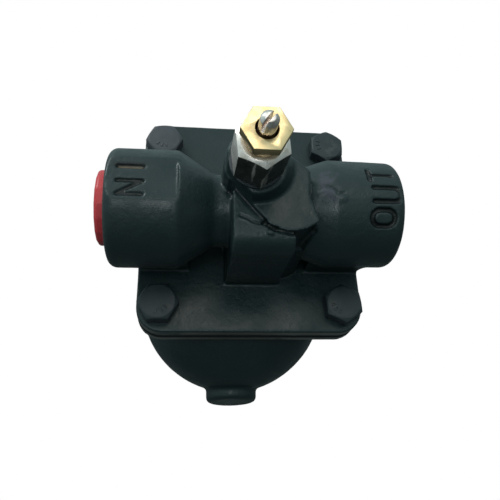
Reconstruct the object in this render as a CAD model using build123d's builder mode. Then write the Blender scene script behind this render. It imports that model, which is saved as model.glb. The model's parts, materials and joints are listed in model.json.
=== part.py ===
from build123d import *
import os
from math import cos, radians, sin, sqrt, tan

# Float and thermostatic steam trap with two screwed pipe ports, a flanged cover casting and a
# bolted float chamber.  Millimetres.
#
# X runs along the pipe from the inlet to the outlet, Z is up and the port side of the cover
# faces -Y.  The origin is the middle of the pipe axis.

os.makedirs("parts", exist_ok=True)

# ---------------------------------------------------------------- driving dimensions

# pipe ports (3/4 inch parallel thread, shown at its minor diameter)
PORT_FACE_X = 60.5
THREAD_R = 12.06
THREAD_DEPTH = 16.0
COUNTERBORE_R = 13.6
COUNTERBORE_DEPTH = 7.0
THROAT_R = 10.7
PASSAGE_R = 9.0
INLET_BOSS_R = 25.0
OUTLET_BOSS_R = 23.0
NECK_R = 15.5

# cover flange, gasket and chamber flange, all stacked along +Y
FLANGE_X = 1.4
FLANGE_Z = 10.0
FLANGE_W = 102.4
FLANGE_H = 110.9
FLANGE_CORNER = 11.5
FLANGE_FRONT_Y = 27.0
COVER_T = 6.0
GASKET_T = 1.6
GASKET_INSET = 1.3
CHAMBER_FLANGE_T = 5.6
COVER_BACK_Y = FLANGE_FRONT_Y + COVER_T
CHAMBER_FRONT_Y = COVER_BACK_Y + GASKET_T
CHAMBER_BACK_Y = CHAMBER_FRONT_Y + CHAMBER_FLANGE_T

# cover bolts, M10
BOLT_X = FLANGE_X
BOLT_Z = 9.5
BOLT_PITCH_X = 83.0
BOLT_PITCH_Z = 86.0
BOLT_R = 4.95
BOLT_HEAD_AF = 16.0
BOLT_HEAD_H = 6.5
BOLT_LENGTH = 18.5
BOLT_HOLE_R = 5.5
TAPPED_R = 5.0
LUG_R = 8.0
LUG_H = 7.0
TAPPED_DEPTH = CHAMBER_FLANGE_T + LUG_H - 1.2

# float chamber: circles (x, y, z, radius) from the flange to the widest section, then a dome
CHAMBER_WALL = 5.0
CHAMBER_X = -3.0
CHAMBER_Y = 76.8
CHAMBER_Z = -13.5
CHAMBER_R = 48.0
CHAMBER_MOUTH = (0.0, 4.0, 42.0)
DRAIN_R = 13.0
DRAIN_X = -3.5
DRAIN_Y = 84.0
DRAIN_BOTTOM_Z = -66.2
DRAIN_H = 18.0
DRAIN_ROUND = 2.5

# web under the pipe that carries the outlet duct, and the air vent hub beside it
WEB_LEFT_X = -10.5
WEB_RIGHT_X = 14.0
WEB_R = 21.6
WEB_Y = -1.5
WEB_CORNER = (-19.0, -26.5)
WEB_CORNER_R = 8.0
WEB_BACK_Z = -22.8
HUB_FACE_Y = -23.5
HUB_TILT = 5.7

# steam lock release valve, on an axis tilted down from the front
VALVE_TILT = 9.65
VALVE_BASE = (-2.1, -19.2, 6.2)
COLLAR_TOP = 11.7
COLLAR_TOP_R = 12.2
COLLAR_FOOT = 3.0
COLLAR_FOOT_R = 16.5
COLLAR_FOOT_SHIFT = (1.0, 1.8)
WASHER_T = 1.2
WASHER_R = 10.6
HEX_AF = 19.0
HEX_TURN = 35.8
HEX_FACE_R = 8.3
HEX_TOP = 31.9
GLAND_HEX_BASE = 35.7
GLAND_TOP = 40.1
GLAND_AF = 16.0
GLAND_NOSE_R = 7.2
GLAND_HOLE_R = 4.15
SPINDLE_TOP = 47.6
SPINDLE_R = 3.3
SPINDLE_THREAD_R = 4.5
SHANK_R = 7.0
SHANK_END = -6.0
SHANK_CLEAR = 0.6
PACKING_R = 6.0
RUNNING = 0.05

# main valve, pivot and float
SEAT_Z = -12.0
PIVOT_Y = 45.0
PIVOT_Z = 2.0
PIN_R = 1.5
FLOAT_R = 28.0
FLOAT_Y = 80.0
FLOAT_Z = -20.0
FLOAT_WALL = 0.9

# thermostatic air vent
VENT_X = 4.0
VENT_Z = 23.0
VENT_SCREW_OFFSET = 15.5

# bracket screws, M4
BRACKET_SCREW_X = 7.0
BRACKET_SCREW_Z = -24.2

# ---------------------------------------------------------------- helpers


def front_plane(y):
    """Plane at this Y whose normal points out of the port side, with X right and Z up."""
    return Plane.XZ.offset(-y)


def valve_point(s):
    """Point on the release valve's axis, s outwards from the collar's base."""
    x, y, z = VALVE_BASE
    return (x, y - s * cos(radians(VALVE_TILT)), z - s * sin(radians(VALVE_TILT)))


def valve_plane(s):
    """Plane square to the release valve's axis, s outwards from the collar's base."""
    outwards = (0, -cos(radians(VALVE_TILT)), -sin(radians(VALVE_TILT)))
    return Plane(origin=valve_point(s), x_dir=(1, 0, 0), z_dir=outwards)


def chamber_sections(inset):
    """Circles (x, y, z, radius) that the chamber's side wall passes through."""
    mouth_x, mouth_z, mouth_r = CHAMBER_MOUTH
    sections = []
    for share, along in ((0.0, 0.0), (0.55, 0.32), (0.92, 0.68), (1.0, 1.0)):
        x = mouth_x + (CHAMBER_X - mouth_x) * share
        y = CHAMBER_BACK_Y + (CHAMBER_Y - CHAMBER_BACK_Y) * along
        z = mouth_z + (CHAMBER_Z - mouth_z) * share
        r = mouth_r + (CHAMBER_R - mouth_r) * share
        sections.append((x, y, z, r - inset))
    return sections


def bolt_places():
    """Cover bolt centres on a front plane."""
    return GridLocations(BOLT_PITCH_X, BOLT_PITCH_Z, 2, 2)


def bracket_screw_places():
    """Bracket screw centres on a front plane."""
    return Locations((-BRACKET_SCREW_X, BRACKET_SCREW_Z), (BRACKET_SCREW_X, BRACKET_SCREW_Z))


def vent_screw_places():
    """Vent clamp screw centres on a front plane."""
    return Locations((VENT_X - VENT_SCREW_OFFSET, VENT_Z), (VENT_X + VENT_SCREW_OFFSET, VENT_Z))


def finish(piece, label):
    """Name a piece and write its STEP file."""
    piece.part.label = label
    export_step(piece.part, f"parts/{label}.step")


# ---------------------------------------------------------------- cover casting

# outline of the air vent hub: straight sides joined by two arcs
HUB_LEFT_X = -14.0
HUB_TOP_Z = 23.6
HUB_ROUND = 0.5
COLLAR_INSET = 0.9
with BuildSketch(Plane.XY) as hub_outline:
    with BuildLine():
        Polyline((HUB_LEFT_X, 9), (HUB_LEFT_X, 4.5), (-11.7, 0), (1.7, -15.5))
        ThreePointArc((1.7, -15.5), (12.5, -19.8), (23.5, -15))
        Polyline((23.5, -15), (20, -4.3), (21, 6.4), (0.5, HUB_TOP_Z), (-4.5, HUB_TOP_Z))
        ThreePointArc((-4.5, HUB_TOP_Z), (-11.4, 18), (HUB_LEFT_X, 9))
    make_face()

# solid of the air vent hub, cut to its slightly tilted front face
with BuildPart() as hub:
    with BuildSketch(front_plane(FLANGE_FRONT_Y + 1)):
        add(hub_outline.sketch)
    extrude(amount=FLANGE_FRONT_Y - HUB_FACE_Y + 10)
    hub_face = Plane(
        origin=(0, HUB_FACE_Y, 0),
        x_dir=(1, 0, 0),
        z_dir=(0, -cos(radians(HUB_TILT)), -sin(radians(HUB_TILT))),
    )
    split(bisect_by=hub_face, keep=Keep.BOTTOM)
    fillet(hub.faces().sort_by(Axis.Y)[0].edges(), radius=HUB_ROUND)

# release valve's collar: a tapered boss whose foot stays inside the hub's outline
with BuildPart() as collar:
    with BuildSketch(valve_plane(COLLAR_FOOT)):
        with Locations(COLLAR_FOOT_SHIFT):
            Circle(COLLAR_FOOT_R)
    with BuildSketch(valve_plane(COLLAR_TOP)):
        Circle(COLLAR_TOP_R)
    loft()
    with BuildSketch(front_plane(0)):
        add(hub_outline.sketch)
        offset(amount=-COLLAR_INSET, mode=Mode.REPLACE)
    extrude(amount=-valve_point(COLLAR_TOP)[1] + COLLAR_TOP_R, mode=Mode.INTERSECT)

# pedestals that carry the two port bosses on the flange
PEDESTAL_HALF_Z = 16.0
FLARE_R = 5.0


def pedestal(side_x, inner_x):
    """Block from the flange to the pipe axis, flared under the boss at its outer end."""
    out = 1 if side_x > 0 else -1
    flare_x = side_x + out * FLARE_R
    low_y = FLANGE_FRONT_Y - 0.5
    with BuildPart() as block:
        with BuildSketch(Plane.XY.offset(-PEDESTAL_HALF_Z)):
            with BuildLine():
                Line((inner_x, 0), (inner_x, FLANGE_FRONT_Y + 1))
                Line((inner_x, FLANGE_FRONT_Y + 1), (side_x, FLANGE_FRONT_Y + 1))
                Line((side_x, FLANGE_FRONT_Y + 1), (side_x, low_y))
                ThreePointArc(
                    (side_x, low_y),
                    (side_x + out * FLARE_R * (1 - sqrt(0.5)), low_y - FLARE_R * sqrt(0.5)),
                    (flare_x, low_y - FLARE_R),
                )
                Line((flare_x, low_y - FLARE_R), (flare_x, 0))
                Line((flare_x, 0), (inner_x, 0))
            make_face()
        extrude(amount=2 * PEDESTAL_HALF_Z)
    return block.part


inlet_pedestal = pedestal(FLANGE_X - FLANGE_W / 2, -27.0)
outlet_pedestal = pedestal(FLANGE_X + FLANGE_W / 2, 27.0)

# sunk port letters: strokes are slots on a plane beside the boss
LETTER_H = 11.5
LETTER_W = 8.0
STROKE = 2.1
LETTER_DEPTH = 1.1
LETTER_MID_X = 50.5
INLET_FLAT_ANGLE = 3.0
INLET_FLAT_R = 23.0


def boss_plane(radius, angle, mid_x, tops_to):
    """Plane touching a boss at this angle above the front, with letter tops towards tops_to."""
    out = (0, -cos(radians(angle)), sin(radians(angle)))
    origin = (mid_x, out[1] * radius, out[2] * radius)
    up = Vector(tops_to, 0, 0)
    right = up.cross(Vector(*out))
    return Plane(origin=origin, x_dir=right, z_dir=out)


def stroke(start, end):
    """One straight stroke of a letter, with rounded ends."""
    a = Vector(*start)
    b = Vector(*end)
    mid = (a + b) / 2
    tilt = Vector(1, 0).get_signed_angle(b - a, Vector(0, 0, 1))
    with Locations(Location((mid.X, mid.Y, 0), (0, 0, tilt))):
        SlotCenterToCenter((b - a).length, STROKE)


half_h = (LETTER_H - STROKE) / 2
half_w = (LETTER_W - STROKE) / 2

letter_i = -5.2
letter_n = 4.6
with BuildPart() as inlet_letters:
    with BuildSketch(boss_plane(INLET_FLAT_R - LETTER_DEPTH, INLET_FLAT_ANGLE, -LETTER_MID_X, 1)):
        stroke((letter_i, -half_h), (letter_i, half_h))
        stroke((letter_n - half_w, -half_h), (letter_n - half_w, half_h))
        stroke((letter_n - half_w, half_h), (letter_n + half_w, -half_h))
        stroke((letter_n + half_w, -half_h), (letter_n + half_w, half_h))
    extrude(amount=LETTER_DEPTH + 1)

OUTLET_LETTER_R = OUTLET_BOSS_R + 0.4
OUTLET_O_W = LETTER_W + 0.6
OUTLET_U_LEG = 6.0
OUTLET_ANGLES = (-31.5, -7.0, 17.0)
angle_o, angle_u, angle_t = OUTLET_ANGLES
with BuildPart() as outlet_letters:
    with BuildSketch(boss_plane(OUTLET_LETTER_R, angle_o, LETTER_MID_X, -1)):
        SlotCenterToCenter(LETTER_H - OUTLET_O_W, OUTLET_O_W, rotation=90)
        SlotCenterToCenter(
            LETTER_H - OUTLET_O_W, OUTLET_O_W - 2 * STROKE, rotation=90, mode=Mode.SUBTRACT
        )
    with BuildSketch(boss_plane(OUTLET_LETTER_R, angle_u, LETTER_MID_X, -1)):
        u_height = LETTER_H - LETTER_W + OUTLET_U_LEG
        SlotCenterToCenter(u_height, LETTER_W, rotation=90)
        SlotCenterToCenter(u_height, LETTER_W - 2 * STROKE, rotation=90, mode=Mode.SUBTRACT)
        with Locations((0, half_h + LETTER_H / 2)):
            Rectangle(2 * LETTER_W, LETTER_H, mode=Mode.SUBTRACT)
    with BuildSketch(boss_plane(OUTLET_LETTER_R, angle_t, LETTER_MID_X, -1)):
        stroke((0, -half_h), (0, half_h))
        stroke((-half_w, half_h), (half_w, half_h))
    extrude(amount=-4)
    with BuildSketch(Plane.YZ) as shell_ring:
        Circle(OUTLET_LETTER_R + 1)
        Circle(OUTLET_BOSS_R - LETTER_DEPTH, mode=Mode.SUBTRACT)
    extrude(amount=PORT_FACE_X, mode=Mode.INTERSECT)

# the air vent's duct runs from its seat down to the outlet passage
VENT_DUCT = Vector(0, 4 - COVER_BACK_Y, 5 - VENT_Z)
VENT_DUCT_R = 2.2
VENT_BOSS_R = 8.0
VENT_BOSS_H = 10.0
VENT_TAP_R = 4.5
VENT_TAP_DEPTH = 5.0

# passages inside the cover
THROAT_END_X = 24.0
INLET_PASSAGE_END_X = -20.0
OUTLET_PASSAGE_START_X = -5.0
PASSAGE_MEETS_THREAD_X = PORT_FACE_X - COUNTERBORE_DEPTH - THREAD_DEPTH + 2.5
INLET_TURN_X = -25.0
INLET_TURN_R = 7.5
OUTLET_DUCT_R = 5.0
SEAT_TAP_R = 7.0
SEAT_TAP_DEPTH = 6.0

# release valve's ducts: one from the chamber to the needle, one on to the outlet passage
NEEDLE_HOLE_R = 1.6
NEEDLE_HOLE_DEPTH = 3.0
STEAM_DUCT_R = 1.3
STEAM_DUCT_Z = 27.0
RELEASE_DUCT_R = 1.3
RELEASE_DUCT_Z = 4.0

# tapped screw holes in the cover's back
BRACKET_TAP_R = 2.0
VENT_SCREW_TAP_R = 1.5
SCREW_TAP_DEPTH = 5.0

with BuildPart() as body:
    # cover flange
    with BuildSketch(front_plane(COVER_BACK_Y)):
        with Locations((FLANGE_X, FLANGE_Z)):
            RectangleRounded(FLANGE_W, FLANGE_H, FLANGE_CORNER)
    extrude(amount=COVER_T)
    # inlet boss, neck and outlet boss, turned about the pipe axis
    with BuildSketch(Plane.XY):
        with BuildLine():
            FilletPolyline(
                (-PORT_FACE_X, 0),
                (-PORT_FACE_X, INLET_BOSS_R),
                (-32, INLET_BOSS_R),
                (-17, NECK_R),
                (15, NECK_R),
                (22, 20.2),
                (31.5, OUTLET_BOSS_R + 0.4),
                (PORT_FACE_X, OUTLET_BOSS_R),
                (PORT_FACE_X, 0),
                radius=[4.0, 3.0, 6.0, 4.0, 6.0, 1.5, 4.0],
            )
            Line((PORT_FACE_X, 0), (-PORT_FACE_X, 0))
        make_face()
    revolve(axis=Axis.X)
    # shallow flat on the inlet boss that carries its letters
    with BuildSketch(boss_plane(INLET_FLAT_R, INLET_FLAT_ANGLE, -PORT_FACE_X / 2 - 16, 1)):
        Rectangle(2 * INLET_BOSS_R, PORT_FACE_X / 2 - 1)
    extrude(amount=4, mode=Mode.SUBTRACT)
    # web round the pipe that carries the outlet duct
    with BuildSketch(Plane.YZ.offset(WEB_LEFT_X)):
        with BuildLine():
            Line((FLANGE_FRONT_Y, WEB_R), (WEB_Y, WEB_R))
            ThreePointArc(
                (WEB_Y, WEB_R),
                (WEB_Y - WEB_R * sqrt(0.5), WEB_R * sqrt(0.5)),
                (WEB_Y - WEB_R, 0),
            )
            FilletPolyline(
                (WEB_Y - WEB_R, 0), WEB_CORNER, (FLANGE_FRONT_Y, WEB_BACK_Z), radius=WEB_CORNER_R
            )
            Line((FLANGE_FRONT_Y, WEB_BACK_Z), (FLANGE_FRONT_Y, WEB_R))
        make_face()
    extrude(amount=WEB_RIGHT_X - WEB_LEFT_X)
    add(inlet_pedestal)
    add(outlet_pedestal)
    add(hub.part)
    add(collar.part)
    # boss under the air vent's seat
    with BuildSketch(front_plane(FLANGE_FRONT_Y + 1)):
        with Locations((VENT_X, VENT_Z - 1)):
            Circle(VENT_BOSS_R)
    extrude(amount=VENT_BOSS_H)
    # port counterbores, threads, throats and passages
    for side in (-1, 1):
        with BuildSketch(Plane.YZ.offset(side * PORT_FACE_X)):
            Circle(COUNTERBORE_R)
        extrude(amount=-side * COUNTERBORE_DEPTH, mode=Mode.SUBTRACT)
        with BuildSketch(Plane.YZ.offset(side * (PORT_FACE_X - COUNTERBORE_DEPTH))):
            Circle(THREAD_R)
        extrude(amount=-side * THREAD_DEPTH, mode=Mode.SUBTRACT)
        with BuildSketch(Plane.YZ.offset(side * PASSAGE_MEETS_THREAD_X)):
            Circle(THROAT_R)
        extrude(amount=-side * (PASSAGE_MEETS_THREAD_X - THROAT_END_X), mode=Mode.SUBTRACT)
    with BuildSketch(Plane.YZ.offset(-PASSAGE_MEETS_THREAD_X)):
        Circle(PASSAGE_R)
    extrude(amount=PASSAGE_MEETS_THREAD_X + INLET_PASSAGE_END_X, mode=Mode.SUBTRACT)
    with BuildSketch(Plane.YZ.offset(OUTLET_PASSAGE_START_X)):
        Circle(PASSAGE_R)
    extrude(amount=PASSAGE_MEETS_THREAD_X - OUTLET_PASSAGE_START_X, mode=Mode.SUBTRACT)
    # inlet turns back through the flange; the outlet duct comes from the main valve
    with BuildSketch(front_plane(COVER_BACK_Y)):
        with Locations((INLET_TURN_X, 0)):
            Circle(INLET_TURN_R)
        with Locations((0, SEAT_Z)):
            Circle(OUTLET_DUCT_R)
    extrude(amount=COVER_BACK_Y, mode=Mode.SUBTRACT)
    with BuildSketch(front_plane(COVER_BACK_Y)):
        with Locations((0, SEAT_Z)):
            Circle(SEAT_TAP_R)
    extrude(amount=SEAT_TAP_DEPTH, mode=Mode.SUBTRACT)
    # air vent duct, back from the flange and down into the outlet passage
    with BuildSketch(front_plane(COVER_BACK_Y)):
        with Locations((VENT_X, VENT_Z)):
            Circle(VENT_TAP_R)
    extrude(amount=VENT_TAP_DEPTH, mode=Mode.SUBTRACT)
    vent_duct_start = (VENT_X, COVER_BACK_Y - 3, VENT_Z)
    with BuildSketch(Plane(origin=vent_duct_start, x_dir=(1, 0, 0), z_dir=VENT_DUCT)):
        Circle(VENT_DUCT_R)
    extrude(amount=VENT_DUCT.length, mode=Mode.SUBTRACT)
    # release valve's bore, needle hole and ducts
    with BuildSketch(valve_plane(SHANK_END)):
        Circle(SHANK_R + RUNNING)
    extrude(amount=COLLAR_TOP - SHANK_END, mode=Mode.SUBTRACT)
    with BuildSketch(valve_plane(SHANK_END)):
        Circle(NEEDLE_HOLE_R)
    extrude(amount=-NEEDLE_HOLE_DEPTH, mode=Mode.SUBTRACT)
    steam_duct_start = Vector(*valve_point(SHANK_END - NEEDLE_HOLE_DEPTH + NEEDLE_HOLE_R))
    steam_duct = Vector(VALVE_BASE[0], COVER_BACK_Y, STEAM_DUCT_Z) - steam_duct_start
    with BuildSketch(Plane(origin=steam_duct_start, x_dir=(1, 0, 0), z_dir=steam_duct)):
        Circle(STEAM_DUCT_R)
    extrude(amount=steam_duct.length + 2, mode=Mode.SUBTRACT)
    with BuildSketch(front_plane(0)):
        with Locations((VALVE_BASE[0], RELEASE_DUCT_Z)):
            Circle(RELEASE_DUCT_R)
    extrude(amount=-VALVE_BASE[1] + SHANK_END + 1, mode=Mode.SUBTRACT)
    # bolt holes and tapped screw holes
    with BuildSketch(front_plane(COVER_BACK_Y)):
        with Locations((BOLT_X, BOLT_Z)):
            with bolt_places():
                Circle(BOLT_HOLE_R)
    extrude(amount=COVER_T, mode=Mode.SUBTRACT)
    with BuildSketch(front_plane(COVER_BACK_Y)):
        with bracket_screw_places():
            Circle(BRACKET_TAP_R)
        with vent_screw_places():
            Circle(VENT_SCREW_TAP_R)
    extrude(amount=SCREW_TAP_DEPTH, mode=Mode.SUBTRACT)
    add(inlet_letters.part, mode=Mode.SUBTRACT)
    add(outlet_letters.part, mode=Mode.SUBTRACT)
finish(body, "body")

# ---------------------------------------------------------------- gasket, chamber and bolts

with BuildPart() as cover_gasket:
    with BuildSketch(front_plane(CHAMBER_FRONT_Y)):
        with Locations((FLANGE_X, FLANGE_Z)):
            RectangleRounded(
                FLANGE_W - 2 * GASKET_INSET, FLANGE_H - 2 * GASKET_INSET, FLANGE_CORNER - GASKET_INSET
            )
        with Locations((CHAMBER_MOUTH[0], CHAMBER_MOUTH[1])):
            Circle(CHAMBER_MOUTH[2] - CHAMBER_WALL, mode=Mode.SUBTRACT)
        with Locations((BOLT_X, BOLT_Z)):
            with bolt_places():
                Circle(BOLT_HOLE_R, mode=Mode.SUBTRACT)
    extrude(amount=GASKET_T)
finish(cover_gasket, "cover_gasket")


def chamber_solid(inset):
    """Chamber's outer form, or its cavity when inset by the wall."""
    with BuildPart() as form:
        for x, y, z, r in chamber_sections(inset):
            with BuildSketch(front_plane(y)):
                with Locations((x, z)):
                    Circle(r)
        loft()
        dome_r = CHAMBER_R - inset
        dome_centre = (CHAMBER_X, CHAMBER_Y, CHAMBER_Z)
        with BuildSketch(Plane(origin=dome_centre, x_dir=(0, 1, 0), z_dir=(0, 0, 1))):
            with BuildLine():
                ThreePointArc((0, dome_r), (dome_r * sqrt(0.5), dome_r * sqrt(0.5)), (dome_r, 0))
                Polyline((dome_r, 0), (0, 0), (0, dome_r))
            make_face()
        revolve(axis=Axis(dome_centre, (0, 1, 0)))
    return form.part


chamber_form = chamber_solid(0)
chamber_cavity = chamber_solid(CHAMBER_WALL)

with BuildPart() as bowl:
    with BuildSketch(front_plane(CHAMBER_BACK_Y)):
        with Locations((FLANGE_X, FLANGE_Z)):
            RectangleRounded(FLANGE_W, FLANGE_H, FLANGE_CORNER)
    extrude(amount=CHAMBER_FLANGE_T)
    with BuildSketch(front_plane(CHAMBER_BACK_Y + LUG_H)):
        with Locations((BOLT_X, BOLT_Z)):
            with bolt_places():
                Circle(LUG_R)
    extrude(amount=LUG_H)
    add(chamber_form)
    # blank drain boss
    with BuildSketch(Plane.XY.offset(DRAIN_BOTTOM_Z)):
        with Locations((DRAIN_X, DRAIN_Y)):
            Circle(DRAIN_R)
    extrude(amount=DRAIN_H)
    fillet(bowl.faces().sort_by(Axis.Z)[0].edges(), radius=DRAIN_ROUND)
    add(chamber_cavity, mode=Mode.SUBTRACT)
    with BuildSketch(front_plane(CHAMBER_BACK_Y)):
        with Locations((CHAMBER_MOUTH[0], CHAMBER_MOUTH[1])):
            Circle(CHAMBER_MOUTH[2] - CHAMBER_WALL)
    extrude(amount=CHAMBER_FLANGE_T, mode=Mode.SUBTRACT)
    with BuildSketch(front_plane(CHAMBER_FRONT_Y)):
        with Locations((BOLT_X, BOLT_Z)):
            with bolt_places():
                Circle(TAPPED_R)
    extrude(amount=-TAPPED_DEPTH, mode=Mode.SUBTRACT)
finish(bowl, "bowl")

HEAD_FACE_R = 7.4
HEX_CHAMFER = 60.0
HEAD_TURNS = (0.0, 34.0, 4.0, 27.0)


def hex_head(plane, turn):
    """Bolt head on a plane, its corners chamfered at 30 degrees down from a round face."""
    with BuildPart() as head:
        with BuildSketch(plane):
            RegularPolygon(BOLT_HEAD_AF / 2, 6, major_radius=False, rotation=turn)
        extrude(amount=BOLT_HEAD_H)
        with BuildSketch(plane.offset(-1)):
            Circle(HEAD_FACE_R + (BOLT_HEAD_H + 1) * tan(radians(HEX_CHAMFER)))
        extrude(amount=BOLT_HEAD_H + 1, taper=HEX_CHAMFER, mode=Mode.INTERSECT)
    return head.part


with BuildPart() as cover_bolts:
    head_planes = []
    for up in (-1, 1):
        for side in (-1, 1):
            x = BOLT_X + side * BOLT_PITCH_X / 2
            z = BOLT_Z + up * BOLT_PITCH_Z / 2
            centre = (x, FLANGE_FRONT_Y, z)
            head_planes.append(Plane(origin=centre, x_dir=(1, 0, 0), z_dir=(0, -1, 0)))
    for head_plane, turn in zip(head_planes, HEAD_TURNS):
        add(hex_head(head_plane, turn))
        with BuildSketch(head_plane):
            Circle(BOLT_R)
        extrude(amount=-BOLT_LENGTH)
finish(cover_bolts, "cover_bolts")

# ---------------------------------------------------------------- port plugs

PLUG_CORNERS = 16
PLUG_RIM = 0.9
PLUG_NOSE_LENGTH = 6.0
PLUG_NOSE_R = COUNTERBORE_R - RUNNING
PLUG_WALL = 1.5
PLUG_FLOOR = 0.5
INLET_PLUG_HEAD = (16.0, 4.3)
OUTLET_PLUG_HEAD = (15.2, 2.3)


def port_plug(side, head, label):
    """Moulded push-in plug: a bevelled head (radius, thickness) on the port face and a hollow nose."""
    head_r, head_t = head
    with BuildPart() as plug:
        with BuildSketch(Plane.YZ.offset(side * PORT_FACE_X)):
            RegularPolygon(head_r, PLUG_CORNERS)
        extrude(amount=side * head_t)
        outer = plug.faces().sort_by(Axis.X)[-1 if side > 0 else 0]
        chamfer(outer.edges(), length=PLUG_RIM)
        with BuildSketch(Plane.YZ.offset(side * PORT_FACE_X)):
            Circle(PLUG_NOSE_R)
        extrude(amount=-side * PLUG_NOSE_LENGTH)
        with BuildSketch(Plane.YZ.offset(side * (PORT_FACE_X - PLUG_NOSE_LENGTH))):
            Circle(PLUG_NOSE_R - PLUG_WALL)
        extrude(amount=side * (PLUG_NOSE_LENGTH + PLUG_FLOOR), mode=Mode.SUBTRACT)
    finish(plug, label)


port_plug(-1, INLET_PLUG_HEAD, "inlet_plug")
port_plug(1, OUTLET_PLUG_HEAD, "outlet_plug")

# ---------------------------------------------------------------- steam lock release valve

with BuildPart() as release_washer:
    with BuildSketch(valve_plane(COLLAR_TOP)):
        Circle(WASHER_R)
        Circle(SHANK_R + RUNNING, mode=Mode.SUBTRACT)
    extrude(amount=WASHER_T)
finish(release_washer, "release_washer")

HEX_BASE = COLLAR_TOP + WASHER_T
CAVITY_BASE = 12.0
with BuildPart() as release_body:
    with BuildSketch(valve_plane(HEX_BASE)):
        RegularPolygon(HEX_AF / 2, 6, major_radius=False, rotation=HEX_TURN)
    extrude(amount=HEX_TOP - HEX_BASE)
    # corners chamfered away at the top
    with BuildSketch(valve_plane(HEX_BASE - 1)):
        Circle(HEX_FACE_R + (HEX_TOP - HEX_BASE + 1) * tan(radians(HEX_CHAMFER)))
    extrude(amount=HEX_TOP - HEX_BASE + 1, taper=HEX_CHAMFER, mode=Mode.INTERSECT)
    with BuildSketch(valve_plane(SHANK_END + SHANK_CLEAR)):
        Circle(SHANK_R)
    extrude(amount=HEX_BASE - SHANK_END - SHANK_CLEAR)
    with BuildSketch(valve_plane(SHANK_END)):
        Circle(SPINDLE_THREAD_R + RUNNING)
    extrude(amount=CAVITY_BASE - SHANK_END, mode=Mode.SUBTRACT)
    with BuildSketch(valve_plane(CAVITY_BASE)):
        Circle(PACKING_R)
    extrude(amount=HEX_TOP - CAVITY_BASE, mode=Mode.SUBTRACT)
finish(release_body, "release_body")

# spindle: needle, thread, ring groove, stem and slotted end
GROOVE_S = 14.5
RING_T = 1.2
GROOVE_R = 2.9
STEM_BASE = 12.5
NEEDLE_BASE = -2.4
NEEDLE_R = 4.0
NEEDLE_LENGTH = 4.8
NEEDLE_TAPER = 35.0
SLOT_W = 1.3
SLOT_DEPTH = 6.0
SLOT_TURN = 52.0
TIP_CHAMFER = 1.4
with BuildPart() as release_spindle:
    with BuildSketch(valve_plane(NEEDLE_BASE)):
        Circle(SPINDLE_THREAD_R)
    extrude(amount=STEM_BASE - 1 - NEEDLE_BASE)
    with BuildSketch(valve_plane(NEEDLE_BASE)):
        Circle(NEEDLE_R)
    extrude(amount=-NEEDLE_LENGTH, taper=NEEDLE_TAPER)
    with BuildSketch(valve_plane(STEM_BASE - 1)):
        Circle(SPINDLE_R)
    extrude(amount=SPINDLE_TOP - STEM_BASE + 1)
    chamfer(release_spindle.faces().sort_by(Axis.Y)[0].edges(), length=TIP_CHAMFER)
    with BuildSketch(valve_plane(SPINDLE_TOP - SLOT_DEPTH)):
        Rectangle(3 * SPINDLE_R, SLOT_W, rotation=SLOT_TURN)
    extrude(amount=SLOT_DEPTH + 1, mode=Mode.SUBTRACT)
    with BuildSketch(valve_plane(GROOVE_S)):
        Circle(2 * SPINDLE_R)
        Circle(GROOVE_R, mode=Mode.SUBTRACT)
    extrude(amount=RING_T, mode=Mode.SUBTRACT)
finish(release_spindle, "release_spindle")

RING_SIDE_GAP = 0.1
RING_R = PACKING_R - 0.6
RING_MOUTH = 2.4
with BuildPart() as retaining_ring:
    with BuildSketch(valve_plane(GROOVE_S + RING_SIDE_GAP)):
        Circle(RING_R)
        Circle(GROOVE_R + RUNNING, mode=Mode.SUBTRACT)
        with Locations((PACKING_R, 0)):
            Rectangle(2 * PACKING_R, RING_MOUTH, mode=Mode.SUBTRACT)
    extrude(amount=RING_T - 2 * RING_SIDE_GAP)
finish(retaining_ring, "retaining_ring")

PACKING_BASE = 22.0
PACKING_TOP = 28.5
PACKING_WASHER_T = 1.2
PACKING_FIT = 0.01
NOSE_GAP = 0.3


def stem_ring(base, top, outer_r, label):
    """Ring round the spindle's stem."""
    with BuildPart() as ring:
        with BuildSketch(valve_plane(base)):
            Circle(outer_r)
            Circle(SPINDLE_R + RUNNING, mode=Mode.SUBTRACT)
        extrude(amount=top - base)
    finish(ring, label)


stem_ring(PACKING_BASE - PACKING_WASHER_T, PACKING_BASE, PACKING_R - PACKING_FIT, "packing_washer")
stem_ring(PACKING_BASE, PACKING_TOP, PACKING_R - PACKING_FIT, "stem_packing")

with BuildPart() as gland_nut:
    with BuildSketch(valve_plane(GLAND_HEX_BASE)):
        RegularPolygon(GLAND_AF / 2, 6, major_radius=False, rotation=0)
    extrude(amount=GLAND_TOP - GLAND_HEX_BASE)
    with BuildSketch(valve_plane(HEX_TOP + NOSE_GAP)):
        Circle(GLAND_NOSE_R)
    extrude(amount=GLAND_HEX_BASE - HEX_TOP - NOSE_GAP)
    with BuildSketch(valve_plane(PACKING_TOP + NOSE_GAP)):
        Circle(PACKING_R - RUNNING)
    extrude(amount=HEX_TOP - PACKING_TOP)
    with BuildSketch(valve_plane(PACKING_TOP)):
        Circle(GLAND_HOLE_R)
    extrude(amount=GLAND_TOP - PACKING_TOP, mode=Mode.SUBTRACT)
finish(gland_nut, "gland_nut")

# ---------------------------------------------------------------- main valve and float

SEAT_GASKET_T = 0.8
SEAT_GASKET_R = 9.0
with BuildPart() as seat_gasket:
    with BuildSketch(front_plane(COVER_BACK_Y + SEAT_GASKET_T)):
        with Locations((0, SEAT_Z)):
            Circle(SEAT_GASKET_R)
            Circle(SEAT_TAP_R, mode=Mode.SUBTRACT)
    extrude(amount=SEAT_GASKET_T)
finish(seat_gasket, "seat_gasket")

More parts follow.
